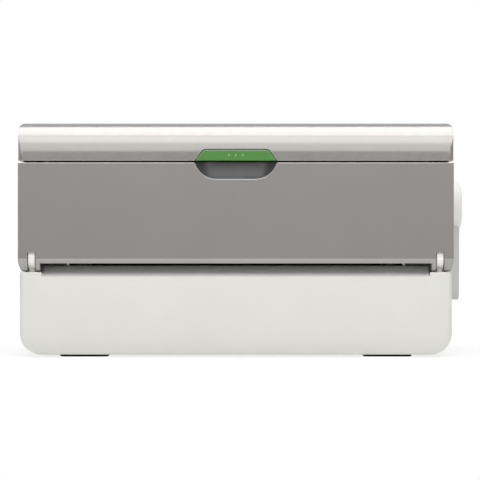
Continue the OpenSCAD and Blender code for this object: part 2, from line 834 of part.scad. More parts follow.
module crank_arm() {
  color([0.70, 0.70, 0.68]) difference() {
    union() {
      along_x(arm_x0, arm_x1) arm_outline(0);
      rod_x(hub_r - 1, arm_x0, web_x, roller_y, crank_z);
      rod_x(crank_shaft_r + 4, boss_x0, boss_x1, roller_y, crank_z);
    }
    difference() {
      rod_x(hub_r + 0.3, web_x, arm_x1 + 1, roller_y, crank_z);
      rod_x(crank_shaft_r + 4, web_x - 1, arm_x1 + 2, roller_y, crank_z);
    }
    rod_x(crank_shaft_r + 5, boss_x1, arm_x1 + 1, roller_y, crank_z);
    box([web_x, roller_y - 6.2, pivot_z - 6], [arm_x1 + 1, roller_y + 6.2, stem_end + 1.2]);
    rod_x(8.2, web_x, arm_x1 + 1, roller_y, grip_z1 - 7);
    rod_x(crank_shaft_r, boss_x0 - 1, boss_x1 + 1, roller_y, crank_z);
    rod_y(1.5, roller_y - 8, roller_y + 8, pivot_x, pivot_z);
  }
}

module crank_hub() {
  e = 5;
  color(white) translate([web_x, roller_y, crank_z]) rotate([0, 90, 0]) difference() {
    rotate_extrude() {
      square([hub_r, hub_t - e]);
      square([hub_r - e, hub_t]);
      translate([hub_r - e, hub_t - e]) circle(e);
    }
    translate([0, 0, -e]) cylinder(r = hub_r + 1, h = e);
    translate([0, 0, -1]) cylinder(r = hub_r - 3, h = hub_t - hub_roof + 1);
  }
}

module crank_screw() {
  color(steel) rod_x(crank_shaft_r + 2, boss_x1, boss_x1 + screw_t, roller_y, crank_z);
}

module handle_pin() {
  color(steel) rod_y(1.5, roller_y - 8, roller_y + 8, pivot_x, pivot_z);
}

module handle_stem() {
  color(steel) difference() {
    union() {
      rod_y(grip_r - 0.2, roller_y - 4.8, roller_y + 4.8, pivot_x, pivot_z);
      rod_z(2.5, pivot_z, stem_end, pivot_x, roller_y);
      rod_z(grip_r - 0.9, grip_z1 + 0.2, stem_end, pivot_x, roller_y);
    }
    rod_y(1.5 + run, roller_y - 6, roller_y + 6, pivot_x, pivot_z);
  }
}

module handle_grip() {
  color([0.66, 0.66, 0.64]) difference() {
    rod_z(grip_r, grip_z0, grip_z1, pivot_x, roller_y);
    rod_z(2.5 + run, grip_z0 - 1, grip_z1 + 1, pivot_x, roller_y);
  }
}

module roller_shaft(z) {
  color(steel) rod_x(roller_shaft_r, -frame_out - 4, gear_x + gear_w + 4, roller_y, z);
}

module roller_sleeve(z) {
  color([0.22, 0.22, 0.23]) difference() {
    rod_x(roller_r, -film_w / 2 - 5.5, film_w / 2 + 5.5, roller_y, z);
    rod_x(roller_shaft_r, -film_w / 2 - 6, film_w / 2 + 6, roller_y, z);
  }
}

module upper_roller_shaft() {
  roller_shaft(upper_z);
}

module upper_roller_sleeve() {
  roller_sleeve(upper_z);
}

module upper_roller_gear() {
  color([0.88, 0.87, 0.82])
    spur_gear(roller_teeth, 90 + 180 / roller_teeth, roller_shaft_r, roller_y, upper_z);
}

module lower_roller_shaft() {
  roller_shaft(lower_z);
}

module lower_roller_sleeve() {
  roller_sleeve(lower_z);
}

module lower_roller_gear() {
  odd = roller_teeth % 2;
  color([0.88, 0.87, 0.82])
    spur_gear(roller_teeth, 90 + odd * 180 / roller_teeth, roller_shaft_r, roller_y, lower_z);
}

module film_roll(r, z) {
  color([0.86, 0.88, 0.86]) difference() {
    rod_x(r, -film_w / 2, film_w / 2, roll_y, z);
    rod_x(core_r, -film_w, film_w, roll_y, z);
  }
}

module roll_core(z) {
  color([0.72, 0.60, 0.44]) difference() {
    rod_x(core_r, -core_end, core_end, roll_y, z);
    rod_x(stub_r + run, -film_w, film_w, roll_y, z);
  }
}

module upper_film_roll() {
  film_roll(upper_roll_r, upper_roll_z);
}

module upper_roll_core() {
  roll_core(upper_roll_z);
}

module lower_film_roll() {
  film_roll(lower_roll_r, lower_roll_z);
}

module lower_roll_core() {
  roll_core(lower_roll_z);
}

module cutter_slider() {
  color(green) difference() {
    union() {
      box([park_x - slider_half, rail_y - 6, rail_z - slider_down],
        [park_x + slider_half, rail_y + 7, rail_z + slider_up]);
      box([park_x - slider_half, rail_y + 3, rail_z + slider_up - 1],
        [park_x + slider_half, rear_y - side_wall - 0.3, window_z1 + 4]);
      box([park_x - neck_half, rail_y + 6, rail_z - slider_down],
        [park_x + neck_half, knob_y0 + 1, rail_z + slider_up - 1]);
      along_y(knob_y0, knob_y1)
        soft_rect(park_x - slider_half, rail_z - slider_down - 2,
          park_x + slider_half, rail_z + slider_up + 2, 5);
    }
    rod_x(rail_r + run, park_x - slider_half - 1, park_x + slider_half + 1, rail_y, rail_z);
    box([park_x - blade_half, blade_y0, rail_z - slider_down - 1],
      [park_x + blade_half, blade_y1, rail_z - slider_down + 3]);
  }
}

module cutter_blade() {
  top = rail_z - slider_down + 3;
  color(steel) along_y(blade_y0, blade_y1)
    polygon([[park_x - blade_half, top], [park_x + blade_half, top], [park_x + blade_half, top - 8],
      [park_x, nip_z - 4.2], [park_x - blade_half, top - 8]]);
}

base_housing();
rubber_feet();
top_cover();
cover_screws();
left_side_frame();
right_side_frame();
frame_tie_bars();
frame_screws();
lower_roller_bushes();
upper_roller_blocks();
pressure_springs();
crank_bushes();
left_gear_cover();
right_gear_cover();
exit_chute();
cutter_rail();
rail_brackets();
hinge_pins();
latch_bracket();
latch_pin();
button_springs();
cartridge_left_end();
cartridge_right_end();
cartridge_feed_plate();
cartridge_guards();
feed_tray();
tray_liner();
finger_cup();
release_button();
button_dots();
latch_lever();
crank_shaft();
crank_gear();
crank_arm();
crank_hub();
crank_screw();
handle_pin();
handle_stem();
handle_grip();
upper_roller_shaft();
upper_roller_sleeve();
upper_roller_gear();
lower_roller_shaft();
lower_roller_sleeve();
lower_roller_gear();
upper_film_roll();
upper_roll_core();
lower_film_roll();
lower_roll_core();
cutter_slider();
cutter_blade();
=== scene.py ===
"""Looks of a hand-cranked film cartridge machine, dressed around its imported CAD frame."""

import json
import math

import bpy
from bpy.props import FloatProperty, FloatVectorProperty, IntProperty, PointerProperty
from bpy.types import Operator, Panel, PropertyGroup
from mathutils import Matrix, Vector


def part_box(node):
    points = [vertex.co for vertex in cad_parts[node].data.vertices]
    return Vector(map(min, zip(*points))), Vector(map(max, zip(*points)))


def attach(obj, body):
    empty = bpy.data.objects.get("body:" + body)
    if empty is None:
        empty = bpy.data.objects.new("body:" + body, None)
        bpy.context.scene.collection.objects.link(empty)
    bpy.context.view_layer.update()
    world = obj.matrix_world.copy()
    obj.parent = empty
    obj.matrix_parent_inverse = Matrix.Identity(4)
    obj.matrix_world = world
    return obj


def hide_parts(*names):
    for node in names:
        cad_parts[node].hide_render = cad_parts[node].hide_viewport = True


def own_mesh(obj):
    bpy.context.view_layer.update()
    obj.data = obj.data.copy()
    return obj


bl_info = {
    "name": "Film cartridge machine",
    "version": (1, 0, 0),
    "blender": (4, 5, 0),
    "location": "View3D > Sidebar > Machine",
    "description": "Dresses the shells, drive, cartridge and cutter of a hand-cranked film machine",
    "category": "Object",
}

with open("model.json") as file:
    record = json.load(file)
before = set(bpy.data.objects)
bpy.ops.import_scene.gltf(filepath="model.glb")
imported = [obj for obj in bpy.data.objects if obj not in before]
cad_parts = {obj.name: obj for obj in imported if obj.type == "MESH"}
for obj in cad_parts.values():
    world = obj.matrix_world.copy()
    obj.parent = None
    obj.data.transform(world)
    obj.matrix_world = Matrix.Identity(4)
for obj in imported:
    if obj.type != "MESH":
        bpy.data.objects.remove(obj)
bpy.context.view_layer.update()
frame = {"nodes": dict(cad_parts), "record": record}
tray_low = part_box("feed_tray")[0]
cup_low, cup_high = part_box("finger_cup")

SLOT_OF = {row["node"]: row["material_slot"] for row in frame["record"]["subparts"]}
MM = 0.001
WHITE = (1.0, 1.0, 1.0, 1.0)

# How far a finish rounds an edge, how far a turned edge leans before it takes its lighter colour of wear
# and painted highlight, and how far an upturned edge leans before it takes its pale painted highlight
EDGE_REACH = 0.5 * MM
WIDE_REACH = 1.2 * MM
EDGE_SAMPLES = 6
WEAR_AND_HIGHLIGHT_FROM = 0.995
WEAR_AND_HIGHLIGHT_FULL = 0.85
UPTURN_HIGHLIGHT_FROM = 0.06
UPTURN_HIGHLIGHT_FULL = 0.3

# Scale and detail of the noises in a finish, and the part of their range that counts
NOISE_LOW = 0.3
NOISE_HIGH = 0.7
MOTTLE_SCALE = 22.0
MOTTLE_DETAIL = 4.0
GLOSS_SCALE = 140.0
GLOSS_DETAIL = 5.0
GLOSS_SPREAD = 0.03
GRAIN_DETAIL = 2.0
GRAIN_DEPTH = 0.05 * MM
FILM_RINGS = 420.0
FILM_WAVER = 0.6
FILM_BUMP = 0.35

# Boxes around the band and ears under the tray's face, which take a paler grey, and around the base's
# feed ramp, which takes a paler white as painted light in the slot's shade
BAND_LOW = (-1.0, -1.0, 0.0)
BAND_HIGH = (1.0, 1.0, 77.9 * MM)
RAMP_LOW = (-153.8 * MM, tray_low.y + 1.6 * MM, 63.0 * MM)
RAMP_HIGH = (153.8 * MM, tray_low.y + 23.0 * MM, 73.0 * MM)

# Edge rounds in the mesh
JOIN_REACH = 0.001 * MM
FLAT_ANGLE = math.radians(0.5)
SHARP_ANGLE = math.radians(35.0)
SHADE_WEIGHT = 100
TOOTH_STEPS = 1

# Finger cup
CUP_WALL = 0.7 * MM
CUP_SKIN = 0.6 * CUP_WALL
CUP_RISE = 1.0 * MM
CUP_TUCK = 0.4 * MM
WELL_RADIUS = 18.0 * MM
WELL_DEPTH = 13.1 * MM
WELL_FLAT = 15.2 * MM

# Springs
BUTTON_WIRE = 0.3 * MM
BUTTON_TURNS = 5
PRESSURE_WIRE = 0.5 * MM
PRESSURE_TURNS = 4

# Hinge sleeves in a paler white than the base, painted light over the knuckles, with the angles at which
# they start and end above the front of the hinge's axis
SLEEVE_RADIUS = 9.3 * MM
SLEEVE_WALL = 0.8 * MM
SLEEVE_INNER = 159.2 * MM
SLEEVE_OUTER = 164.5 * MM
SLEEVE_START = math.radians(-75.0)
SLEEVE_END = math.radians(100.0)

# Floor, with the distances over which its grey fades to white, and the least share of white
FLOOR_REACH = 4.0
FLOOR_GREY = (0.86, 0.86, 0.86, 1.0)
FLOOR_ROUGHNESS = 0.9
FADE_FROM = 0.2
FADE_FULL = 0.55
FADE_LEAST = 0.8
BACKDROP_RAYS = ("Is Camera Ray", "Is Glossy Ray", "Is Transmission Ray")

# Size, place and aim of each lamp
SOFTBOX = ((1.05, 1.04), (0.0, 0.10, 1.35), (0.0, 0.10, 0.0))
FRONT_PANEL = ((1.6, 2.1), (0.0, -1.41, 1.2), (0.0, 0.0, 0.09))
UPPER_PANEL = ((1.2, 1.1), (0.0, -0.94, 1.53), (0.0, -0.09, 0.17))
LEFT_PANEL = ((0.8, 0.8), (-1.25, 0.4, 1.15), (-0.17, 0.05, 0.09))
RIGHT_PANEL = ((0.8, 0.8), (1.25, 0.4, 1.15), (0.17, 0.05, 0.09))
TABLE_BOUNCE = ((1.2, 0.8), (0.0, -0.5, 0.002), (0.0, -0.5, 1.0))


def colour(name, words, value):
    """A colour that the user may change."""
    return FloatVectorProperty(
        name=name, description=words, subtype="COLOR", size=4, min=0.0, max=1.0, default=(*value, 1.0)
    )


def length(name, words, value):
    """A length in metres that the user may change."""
    return FloatProperty(
        name=name, description=words, default=value, min=0.0, subtype="DISTANCE", unit="LENGTH"
    )


def power(name, words, value):
    """A lamp's power in watts that the user may change."""
    return FloatProperty(name=name, description=words, default=value, unit="POWER")


def number(name, words, value):
    """A plain number that the user may change."""
    return FloatProperty(name=name, description=words, default=value)


class MachineColours(PropertyGroup):
    """Colours of the mouldings, the metal and the film."""

    shell_white: colour("Shell white", "Base moulding and cartridge", (0.658, 0.653, 0.62))
    # The ramp's white is paler than the base's own white: painted light in the shade of the slot under
    # the tray.
    ramp_painted_light: colour("Ramp painted light", "Feed ramp behind the base's lip", (0.93, 0.925, 0.90))
    cover_silver: colour("Cover silver", "Top cover", (0.222, 0.214, 0.204))
    tray_grey: colour("Tray grey", "Feed tray", (0.207, 0.197, 0.188))
    band_grey: colour("Band grey", "Slanted band and ears under the tray's face", (0.33, 0.325, 0.312))
    liner_grey: colour("Liner grey", "Feed surface of the tray and cartridge", (0.30, 0.29, 0.28))
    # The finger cup's near-black is a darkened copy of the tray's grey: painted shade in the well.
    well_dark: colour("Finger cup painted shade", "Cup behind the finger well", (0.034, 0.033, 0.034))
    button_green: colour("Button green", "Release button and cutter slider", (0.046, 0.192, 0.019))
    # Paler green on the upturned edges of the button and slider: a painted highlight.
    button_painted_highlight: colour("Button painted highlight", "Upper edges of the button and slider", (0.30, 0.43, 0.27))
    dot_green: colour("Dot green", "Raised dots on the button", (0.16, 0.38, 0.12))
    # A paler white than the base's on the crank hub and hinge sleeves: painted light.
    hub_white: colour("Hub and sleeve painted light", "Crank hub and hinge sleeves", (0.79, 0.785, 0.755))
    crank_grey: colour("Crank grey", "Crank arm and grip", (0.60, 0.595, 0.57))
    steel: colour("Steel", "Plates, shafts, pins, screws, springs and blade", (0.56, 0.57, 0.58))
    brass: colour("Brass", "Crank bushes", (0.70, 0.52, 0.24))
    nylon: colour("Nylon", "Gears, roller bushes and roller blocks", (0.76, 0.74, 0.66))
    rubber_black: colour("Rubber black", "Feet", (0.012, 0.012, 0.011))
    roller_rubber: colour("Roller rubber", "Roller sleeves", (0.035, 0.035, 0.037))
    film_clear: colour("Film", "Wound film", (0.70, 0.74, 0.70))
    core_brown: colour("Core brown", "Fibre tubes inside the film rolls", (0.26, 0.17, 0.10))
    black_plastic: colour("Black plastic", "Covers, chute, brackets and lever", (0.022, 0.022, 0.022))


class MachineEdges(PropertyGroup):
    """Edge rounds that catch the light."""

    shell: length("Shell edge", "Round along the edges of the big mouldings", 0.0009)
    button: length("Button edge", "Round on the button, feet, crank arm, grip and slider", 0.0008)
    dot: length("Dot edge", "Round along the edges of the button's dots", 0.00025)
    small: length("Small edge", "Round along the edges of small pieces", 0.00035)
    gear: length("Gear edge", "Round along the edges of teeth and thin pieces", 0.00012)
    steps: IntProperty(name="Steps", description="Segments in each edge round", default=3, min=1, max=6)


class MachineStage(PropertyGroup):
    """Camera and light."""

    mm_per_px: number("Scale", "Millimetres to a picture pixel at the tray", 0.791)
    picture: IntProperty(name="Picture", description="Pixels across the picture", default=480)
    distance: length("Distance", "From the camera to the tray's face", 1.8)
    aim_x: length("Aim across", "Camera's place to the right of the middle", 0.0033)
    aim_z: length("Aim height", "Camera's height above the table", 0.0926)
    sensor: number("Sensor", "Sensor width in millimetres", 36.0)
    softbox: power("Softbox", "Power of the overhead softbox", 13.9)
    fill: power("Fill", "Power of the front fill", 17.9)
    upper: power("Upper fill", "Power of the upper front panel", 5.5)
    side: power("Side fill", "Power of the panel at each side", 5.0)
    bounce: power("Bounce", "Power of the light off the table", 0.5)
    ambient: number("Ambient", "Strength of the room light", 0.12)


def new_material(name):
    """An empty node material with its shader, and the links to build on."""
    material = bpy.data.materials.new(name)
    material.use_nodes = True
    tree = material.node_tree
    return material, tree.nodes, tree.links, tree.nodes["Principled BSDF"]


def remap(nodes, links, source, start, end, low=0.0, high=1.0):
    """A node that maps a value from start to end onto low to high, and holds it there."""
    ramp = nodes.new("ShaderNodeMapRange")
    for name, value in (("From Min", start), ("From Max", end), ("To Min", low), ("To Max", high)):
        ramp.inputs[name].default_value = value
    links.new(source, ramp.inputs["Value"])
    return ramp


def combine(nodes, links, operation, values):
    """Several values taken together, one after the other, by a math operation."""
    total = values[0]
    for value in values[1:]:
        joined = nodes.new("ShaderNodeMath")
        joined.operation = operation
        links.new(total, joined.inputs[0])
        links.new(value, joined.inputs[1])
        total = joined.outputs["Value"]
    return total


def noise(nodes, links, place, scale, detail, stretch=(1.0, 1.0, 1.0)):
    """A noise in the machine's own frame."""
    mapping = nodes.new("ShaderNodeMapping")
    mapping.inputs["Scale"].default_value = stretch
    links.new(place.outputs["Object"], mapping.inputs["Vector"])
    texture = nodes.new("ShaderNodeTexNoise")
    texture.inputs["Scale"].default_value = scale
    texture.inputs["Detail"].default_value = detail
    links.new(mapping.outputs["Vector"], texture.inputs["Vector"])
    return texture.outputs["Fac"]


def spread(nodes, links, source, low, high):
    """Maps a noise's middle range onto low to high."""
    return remap(nodes, links, source, NOISE_LOW, NOISE_HIGH, low, high).outputs["Result"]


def tinted(value, factor):
    """The colour made lighter or darker."""
    return (*[min(1.0, part * factor) for part in value[:3]], 1.0)


def rounded_edges(nodes, reach):
    """The surface's direction, turned over the edges within a reach."""
    rounded = nodes.new("ShaderNodeBevel")
    rounded.samples = EDGE_SAMPLES
    rounded.inputs["Radius"].default_value = reach
    return rounded.outputs["Normal"]


def edge_mask(nodes, links, turned):
    """1 along the edges, where the direction is turned, 0 on the flat."""
    shape = nodes.new("ShaderNodeNewGeometry")
    lean = nodes.new("ShaderNodeVectorMath")
    lean.operation = "DOT_PRODUCT"
    links.new(turned, lean.inputs[0])
    links.new(shape.outputs["Normal"], lean.inputs[1])
    return remap(nodes, links, lean.outputs["Value"], WEAR_AND_HIGHLIGHT_FROM, WEAR_AND_HIGHLIGHT_FULL).outputs["Result"]


def mix_colours(nodes, links, share, first, second):
    """Two colours, or a colour's output and a colour, mixed by a share that varies over the surface."""
    mix = nodes.new("ShaderNodeMix")
    mix.data_type = "RGBA"
    links.new(share, mix.inputs["Factor"])
    for name, part in (("A", first), ("B", second)):
        socket = [item for item in mix.inputs if item.name == name and item.type == "RGBA"][0]
        if isinstance(part, bpy.types.NodeSocket):
            links.new(part, socket)
        else:
            socket.default_value = part
    return [item for item in mix.outputs if item.type == "RGBA"][0]


def finish(name, value, roughness, metallic=0.0, grain=(1800.0, 0.05), mottle=0.03, wear_and_highlight=1.12,
           stretch=(1.0, 1.0, 1.0), specular=0.5, coat=0.0, reach=EDGE_REACH):
    """A used surface: mottled colour, uneven gloss, fine grain, and lighter edges that are partly wear
    and partly a painted highlight.
    """
    material, nodes, links, shader = new_material(name)
    place = nodes.new("ShaderNodeTexCoord")
    shader.inputs["Metallic"].default_value = metallic
    shader.inputs["Specular IOR Level"].default_value = specular
    shader.inputs["Coat Weight"].default_value = coat
    cloud = noise(nodes, links, place, MOTTLE_SCALE, MOTTLE_DETAIL)
    patches = spread(nodes, links, cloud, 0.0, 1.0)
    body = mix_colours(nodes, links, patches, tinted(value, 1.0 - mottle), tinted(value, 1.0 + mottle))
    turned = rounded_edges(nodes, reach)
    # Edges are lightened, partly as wear and partly as a painted highlight.
    worn_and_highlit = mix_colours(nodes, links, edge_mask(nodes, links, turned), body, tinted(value, wear_and_highlight))
    links.new(worn_and_highlit, shader.inputs["Base Color"])
    gloss = noise(nodes, links, place, GLOSS_SCALE, GLOSS_DETAIL)
    uneven = spread(nodes, links, gloss, roughness - GLOSS_SPREAD, roughness + GLOSS_SPREAD)
    links.new(uneven, shader.inputs["Roughness"])
    scale, strength = grain
    bump = nodes.new("ShaderNodeBump")
    bump.inputs["Strength"].default_value = strength
    bump.inputs["Distance"].default_value = GRAIN_DEPTH
    links.new(noise(nodes, links, place, scale, GRAIN_DETAIL, stretch), bump.inputs["Height"])
    links.new(turned, bump.inputs["Normal"])
    links.new(bump.outputs["Normal"], shader.inputs["Normal"])
    return material


def over_colour(material, share, value):
    """Lays a colour over a finish by a share that varies over the surface."""
    nodes, links = material.node_tree.nodes, material.node_tree.links
    socket = nodes["Principled BSDF"].inputs["Base Color"]
    under = socket.links[0].from_socket
    links.new(mix_colours(nodes, links, share, under, value), socket)
    return material


def colour_in_box(material, value, low, high):
    """Gives the surface inside a box of the machine another colour."""
    nodes, links = material.node_tree.nodes, material.node_tree.links
    place = nodes.new("ShaderNodeTexCoord")
    parts = nodes.new("ShaderNodeSeparateXYZ")
    links.new(place.outputs["Object"], parts.inputs["Vector"])
    inside = []
    for part, start, end in zip(parts.outputs, low, high):
        within = nodes.new("ShaderNodeMath")
        within.operation = "COMPARE"
        within.inputs[1].default_value = (start + end) / 2
        within.inputs[2].default_value = (end - start) / 2
        links.new(part, within.inputs[0])
        inside.append(within.outputs["Value"])
    return over_colour(material, combine(nodes, links, "MULTIPLY", inside), value)


def paint_upturned_highlight(material, value):
    """Gives the edges that turn upwards a paler colour, a painted highlight."""
    nodes, links = material.node_tree.nodes, material.node_tree.links
    turned = [item for item in nodes if item.type == "BEVEL"][0].outputs["Normal"]
    parts = nodes.new("ShaderNodeSeparateXYZ")
    links.new(turned, parts.inputs["Vector"])
    upward = remap(nodes, links, parts.outputs["Z"], UPTURN_HIGHLIGHT_FROM, UPTURN_HIGHLIGHT_FULL)
    return over_colour(material, upward.outputs["Result"], value)


def wound_film(name, value, node):
    """Film wound in many layers: fine rings on the ends and a soft sheen along the roll."""
    material = finish(name, value, 0.22, wear_and_highlight=1.05, coat=0.3)
    nodes, links = material.node_tree.nodes, material.node_tree.links
    low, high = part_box(node)
    place = nodes.new("ShaderNodeTexCoord")
    middle = nodes.new("ShaderNodeMapping")
    middle.inputs["Location"].default_value = -(low + high) / 2
    links.new(place.outputs["Object"], middle.inputs["Vector"])
    layers = nodes.new("ShaderNodeTexWave")
    layers.wave_type = "RINGS"
    layers.rings_direction = "X"
    layers.inputs["Scale"].default_value = FILM_RINGS
    layers.inputs["Distortion"].default_value = FILM_WAVER
    links.new(middle.outputs["Vector"], layers.inputs["Vector"])
    bump = [item for item in nodes if item.type == "BUMP"][0]
    bump.inputs["Strength"].default_value = FILM_BUMP
    links.new(layers.outputs["Fac"], bump.inputs["Height"])
    return material


def make_finishes(colours):
    """Every finish of the machine, by the record's slot or, for a piece apart, by its own name."""
    moulding = finish("satin white moulding", colours.shell_white, 0.45, mottle=0.015, reach=WIDE_REACH)
    # The cover's and tray's strong edge lightening is partly wear and mostly a painted highlight along
    # their edges.
    cover = finish("silver painted cover", colours.cover_silver, 0.22, metallic=0.8,
                   grain=(5200.0, 0.05), mottle=0.015, wear_and_highlight=2.6, reach=WIDE_REACH)
    tray = finish("silver painted tray", colours.tray_grey, 0.36, metallic=0.6,
                  grain=(5200.0, 0.05), mottle=0.015, wear_and_highlight=2.3, reach=WIDE_REACH)
    button = finish("satin green button", colours.button_green, 0.36, mottle=0.025, wear_and_highlight=1.2,
                    reach=WIDE_REACH)
    return {
        # Inside the ramp's box the white is paler: painted light in the slot's shade.
        "shell_white": colour_in_box(moulding, colours.ramp_painted_light, RAMP_LOW, RAMP_HIGH),
        "cover_silver": cover,
        "tray_grey": colour_in_box(tray, colours.band_grey, BAND_LOW, BAND_HIGH),
        "liner_grey": finish("grained feed surface", colours.liner_grey, 0.5, grain=(1500.0, 0.12)),
        # The finger cup's dark colour is painted shade.
        "well_dark": finish("finger cup with painted shade", colours.well_dark, 0.32),
        # The button's upturned edges get a painted highlight.
        "button_green": paint_upturned_highlight(button, colours.button_painted_highlight),
        # The hub's paler white is painted light.
        "hub_white": finish("satin white with painted light", colours.hub_white, 0.42, mottle=0.015, wear_and_highlight=1.04),
        "crank_grey": finish("light grey crank", colours.crank_grey, 0.40, mottle=0.02, wear_and_highlight=1.08),
        "steel": finish("zinc plated steel", colours.steel, 0.34, metallic=0.95,
                        grain=(900.0, 0.10), mottle=0.06, stretch=(1.0, 0.08, 1.0)),
        "brass": finish("turned brass", colours.brass, 0.28, metallic=1.0,
                        grain=(900.0, 0.08), mottle=0.05, stretch=(6.0, 1.0, 1.0)),
        "nylon": finish("natural nylon", colours.nylon, 0.5),
        "rubber_black": finish("black rubber foot", colours.rubber_black, 0.75,
                               grain=(1300.0, 0.25), wear_and_highlight=1.8, specular=0.12),
        "roller_rubber": finish("ground roller rubber", colours.roller_rubber, 0.62,
                                grain=(1500.0, 0.2), stretch=(3.0, 1.0, 1.0)),
        "film_clear": wound_film("upper wound film", colours.film_clear, "upper_film_roll"),
        "lower_film": wound_film("lower wound film", colours.film_clear, "lower_film_roll"),
        "core_brown": finish("fibre tube", colours.core_brown, 0.7, grain=(700.0, 0.2), mottle=0.1),
        "black_plastic": finish("black moulding", colours.black_plastic, 0.5,
                                grain=(1500.0, 0.12), wear_and_highlight=1.6),
        "dot_green": finish("light green dots", colours.dot_green, 0.4, mottle=0.02),
    }


FINISHES = {}


def shade_smooth(mesh):
    """Shades every face of a mesh smooth."""
    mesh.polygons.foreach_set("use_smooth", [True] * len(mesh.polygons))


def join_points(piece, name):
    """Joins the points of a piece that lie on each other."""
    weld = piece.modifiers.new(name, "WELD")
    weld.merge_threshold = JOIN_REACH


def round_edges(piece, edge, steps):
    """Rounds a piece's sharp edges and keeps its flats flat."""
    bevel = piece.modifiers.new("edge round", "BEVEL")
    bevel.width = edge
    bevel.segments = steps
    bevel.limit_method = "ANGLE"
    bevel.angle_limit = SHARP_ANGLE
    bevel.use_clamp_overlap = True
    bevel.miter_outer = "MITER_ARC"
    join_points(piece, "join slivers")
    shade = piece.modifiers.new("flat shading", "WEIGHTED_NORMAL")
    shade.weight = SHADE_WEIGHT
    shade.keep_sharp = False


def dress(node, edge, steps, finish_name=None):
    """Gives a CAD node its finish and a round along its sharp edges."""
    piece = frame["nodes"][node]
    piece.data.materials.clear()
    piece.data.materials.append(FINISHES[finish_name or SLOT_OF[node]])
    shade_smooth(piece.data)
    join_points(piece, "join corners")
    flat = piece.modifiers.new("join flat faces", "DECIMATE")
    flat.decimate_type = "DISSOLVE"
    flat.angle_limit = FLAT_ANGLE
    round_edges(piece, edge, steps)


def add_mesh(name, points, faces, finish_name, body, slot):
    """A new piece from points and faces in the machine's frame, riding on a body."""
    mesh = bpy.data.meshes.new(name)
    mesh.from_pydata(points, [], faces)
    mesh.update()
    shade_smooth(mesh)
    mesh.materials.append(FINISHES[finish_name])
    piece = bpy.data.objects.new(name, mesh)
    bpy.context.scene.collection.objects.link(piece)
    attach(piece, body)
    return piece


def finger_scoop(slope_share=0.8, rows=16, turns=18, across=10):
    """Points and faces of the scooped cup: the well's outline stepped inwards, each step sunk deeper."""
    full = WELL_DEPTH + CUP_RISE
    level = cup_high.z + WELL_RADIUS - full
    depth = cup_high.y - cup_low.y - CUP_WALL
    points = []
    for row in range(rows + 1):
        inset = full * row / rows - CUP_TUCK * (1.0 - row / rows)
        radius = WELL_RADIUS - inset
        first = math.asin(min(1.0, (level - cup_high.z) / radius))
        sink = depth * (1.0 - (1.0 - min(1.0, row / rows / slope_share)) ** 2)
        half = []
        for step in range(turns + 1):
            turn = first + (math.pi / 2 - first) * step / turns
            half.append((WELL_FLAT + radius * math.cos(turn), level - radius * math.sin(turn)))
        outline = [(-x, z) for x, z in half]
        outline += [(WELL_FLAT * (2 * step / across - 1), level - radius) for step in range(1, across)]
        outline += reversed(half)
        points.extend((x, cup_low.y + sink, z) for x, z in outline)
    width = len(points) // (rows + 1)
    faces = []
    for row in range(rows):
        for column in range(width - 1):
            corner = row * width + column
            faces.append((corner, corner + width, corner + width + 1, corner + 1))
    return points, faces


def coil(foot, head, mean, wire, turns, steps=28, sides=10):
    """Points and faces of a round-wire spring from foot to head, with a straight end at each seat."""
    axis = (head - foot).normalized()
    first = axis.orthogonal().normalized()
    second = axis.cross(first)
    total = (head - foot).length
    count = turns * steps
    stub = 2 * wire
    route = [(0.0, 0.0)]
    for step in range(count + 1):
        route.append((2 * math.pi * step / steps, stub + (total - 2 * stub) * step / count))
    route.append((2 * math.pi * turns, total))
    lean = (total - 2 * stub) / (2 * math.pi * turns)
    points, faces = [], []
    for place, (turn, height) in enumerate(route):
        out = first * math.cos(turn) + second * math.sin(turn)
        along = second * math.cos(turn) - first * math.sin(turn)
        run = axis if place in (0, len(route) - 1) else (along * mean + axis * lean).normalized()
        up = run.cross(out)
        centre = foot + out * mean + axis * height
        for side in range(sides):
            angle = 2 * math.pi * side / sides
            points.append(centre + (out * math.cos(angle) + up * math.sin(angle)) * wire)
    for ring in range(len(route) - 1):
        for side in range(sides):
            near, far = ring * sides + side, ring * sides + (side + 1) % sides
            faces.append((near, far, far + sides, near + sides))
    faces.append(tuple(range(sides))[::-1])
    faces.append(tuple(range((len(route) - 1) * sides, len(route) * sides)))
    return points, faces


def knuckle_sleeve(inner, outer, level, depth, steps=36):
    """Points and faces of a sleeve over a hinge knuckle, from inner to outer about the hinge's axis."""
    points, faces = [], []
    for step in range(steps + 1):
        turn = SLEEVE_START + (SLEEVE_END - SLEEVE_START) * step / steps
        for x in (inner, outer):
            for radius in (SLEEVE_RADIUS, SLEEVE_RADIUS - SLEEVE_WALL):
                points.append((x, depth - radius * math.cos(turn), level + radius * math.sin(turn)))
    ring = (0, 1, 3, 2)
    corners = len(ring)
    for step in range(steps):
        start = corners * step
        for place in range(corners):
            near, far = start + ring[place], start + ring[(place + 1) % corners]
            faces.append((near, far, far + corners, near + corners))
    faces.append(ring[::-1])
    faces.append(tuple(corners * steps + corner for corner in ring))
    return points, faces


def join_parts(parts):
    """Several lists of points and faces as one."""
    points, faces = [], []
    for more, rings in parts:
        start = len(points)
        points.extend(more)
        faces.extend(tuple(start + corner for corner in face) for face in rings)
    return points, faces


